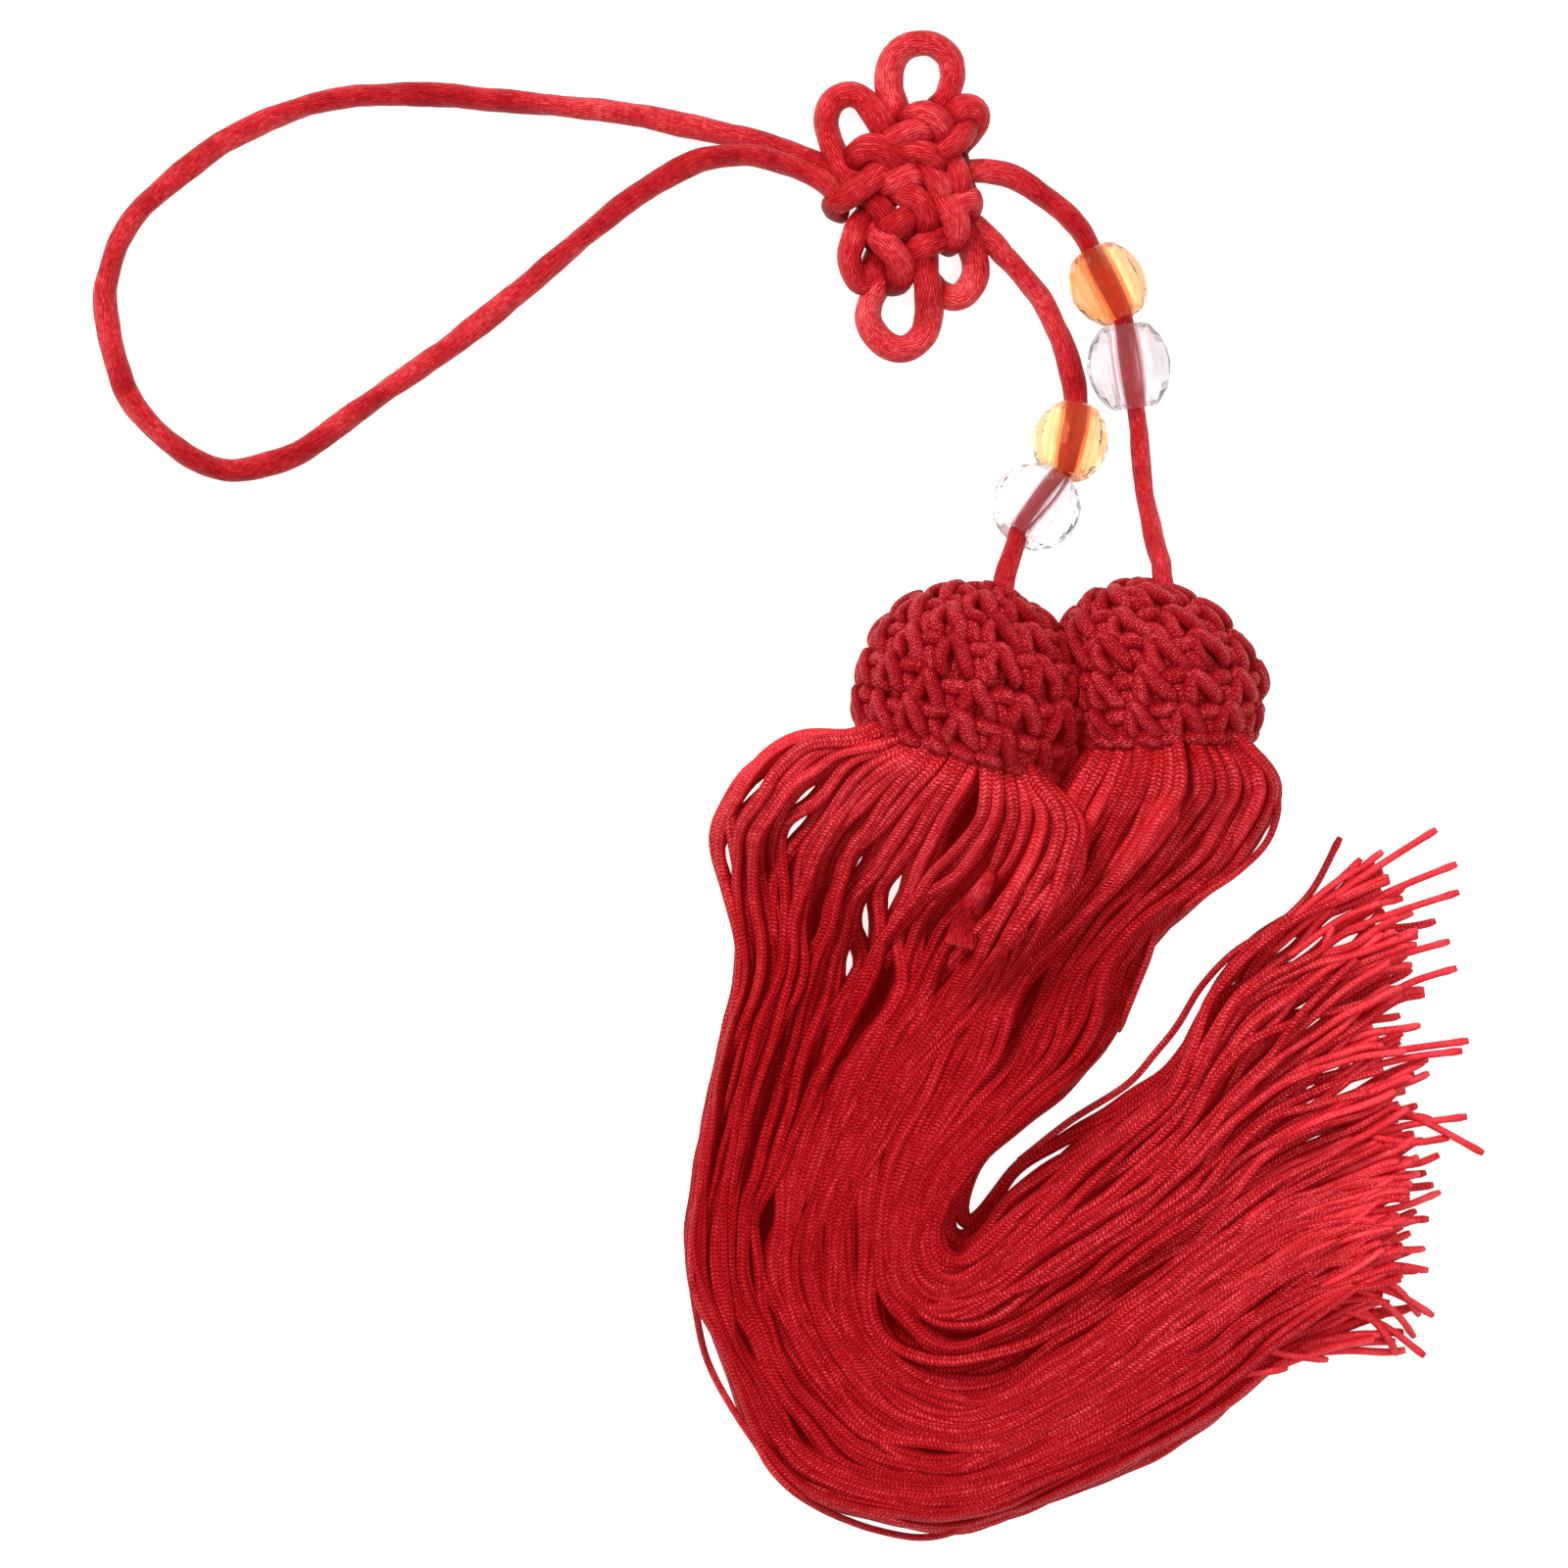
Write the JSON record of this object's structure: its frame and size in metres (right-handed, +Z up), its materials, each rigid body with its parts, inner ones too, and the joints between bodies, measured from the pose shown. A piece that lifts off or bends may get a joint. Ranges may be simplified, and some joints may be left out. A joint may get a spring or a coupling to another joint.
{
  "type": "silk tassel",
  "caption": "Double tassel of knitted cord strands under crocheted caps, on beaded satin cords from a woven knot with a hanging loop.",
  "frame": {"origin": "on the surface that the tassel lies on, below the middle of the knot, heads and skirts taken together", "axes": "+Z up from the surface; +Y from the tassels' lowest bend towards the knot; +X from the hanging loop towards the strands' ends"},
  "size_m": [0.1766, 0.1918, 0.0244],
  "materials": {
    "satin_cord": "satin braid with a soft sheen",
    "knit_cord": "fine tubular knit, slightly silky",
    "amber_bead": "polished, see-through",
    "clear_bead": "polished, see-through"
  },
  "bodies": {
    "root": {"hanging_loop": "satin_cord", "knot": "satin_cord", "drop_cord_a": "satin_cord", "drop_cord_b": "satin_cord", "bead_amber_a": "amber_bead", "bead_clear_a": "clear_bead", "bead_amber_b": "amber_bead", "bead_clear_b": "clear_bead", "head_a": "knit_cord", "head_b": "knit_cord", "skirt_a": "knit_cord", "skirt_b": "knit_cord"}
  },
  "joints": []
}
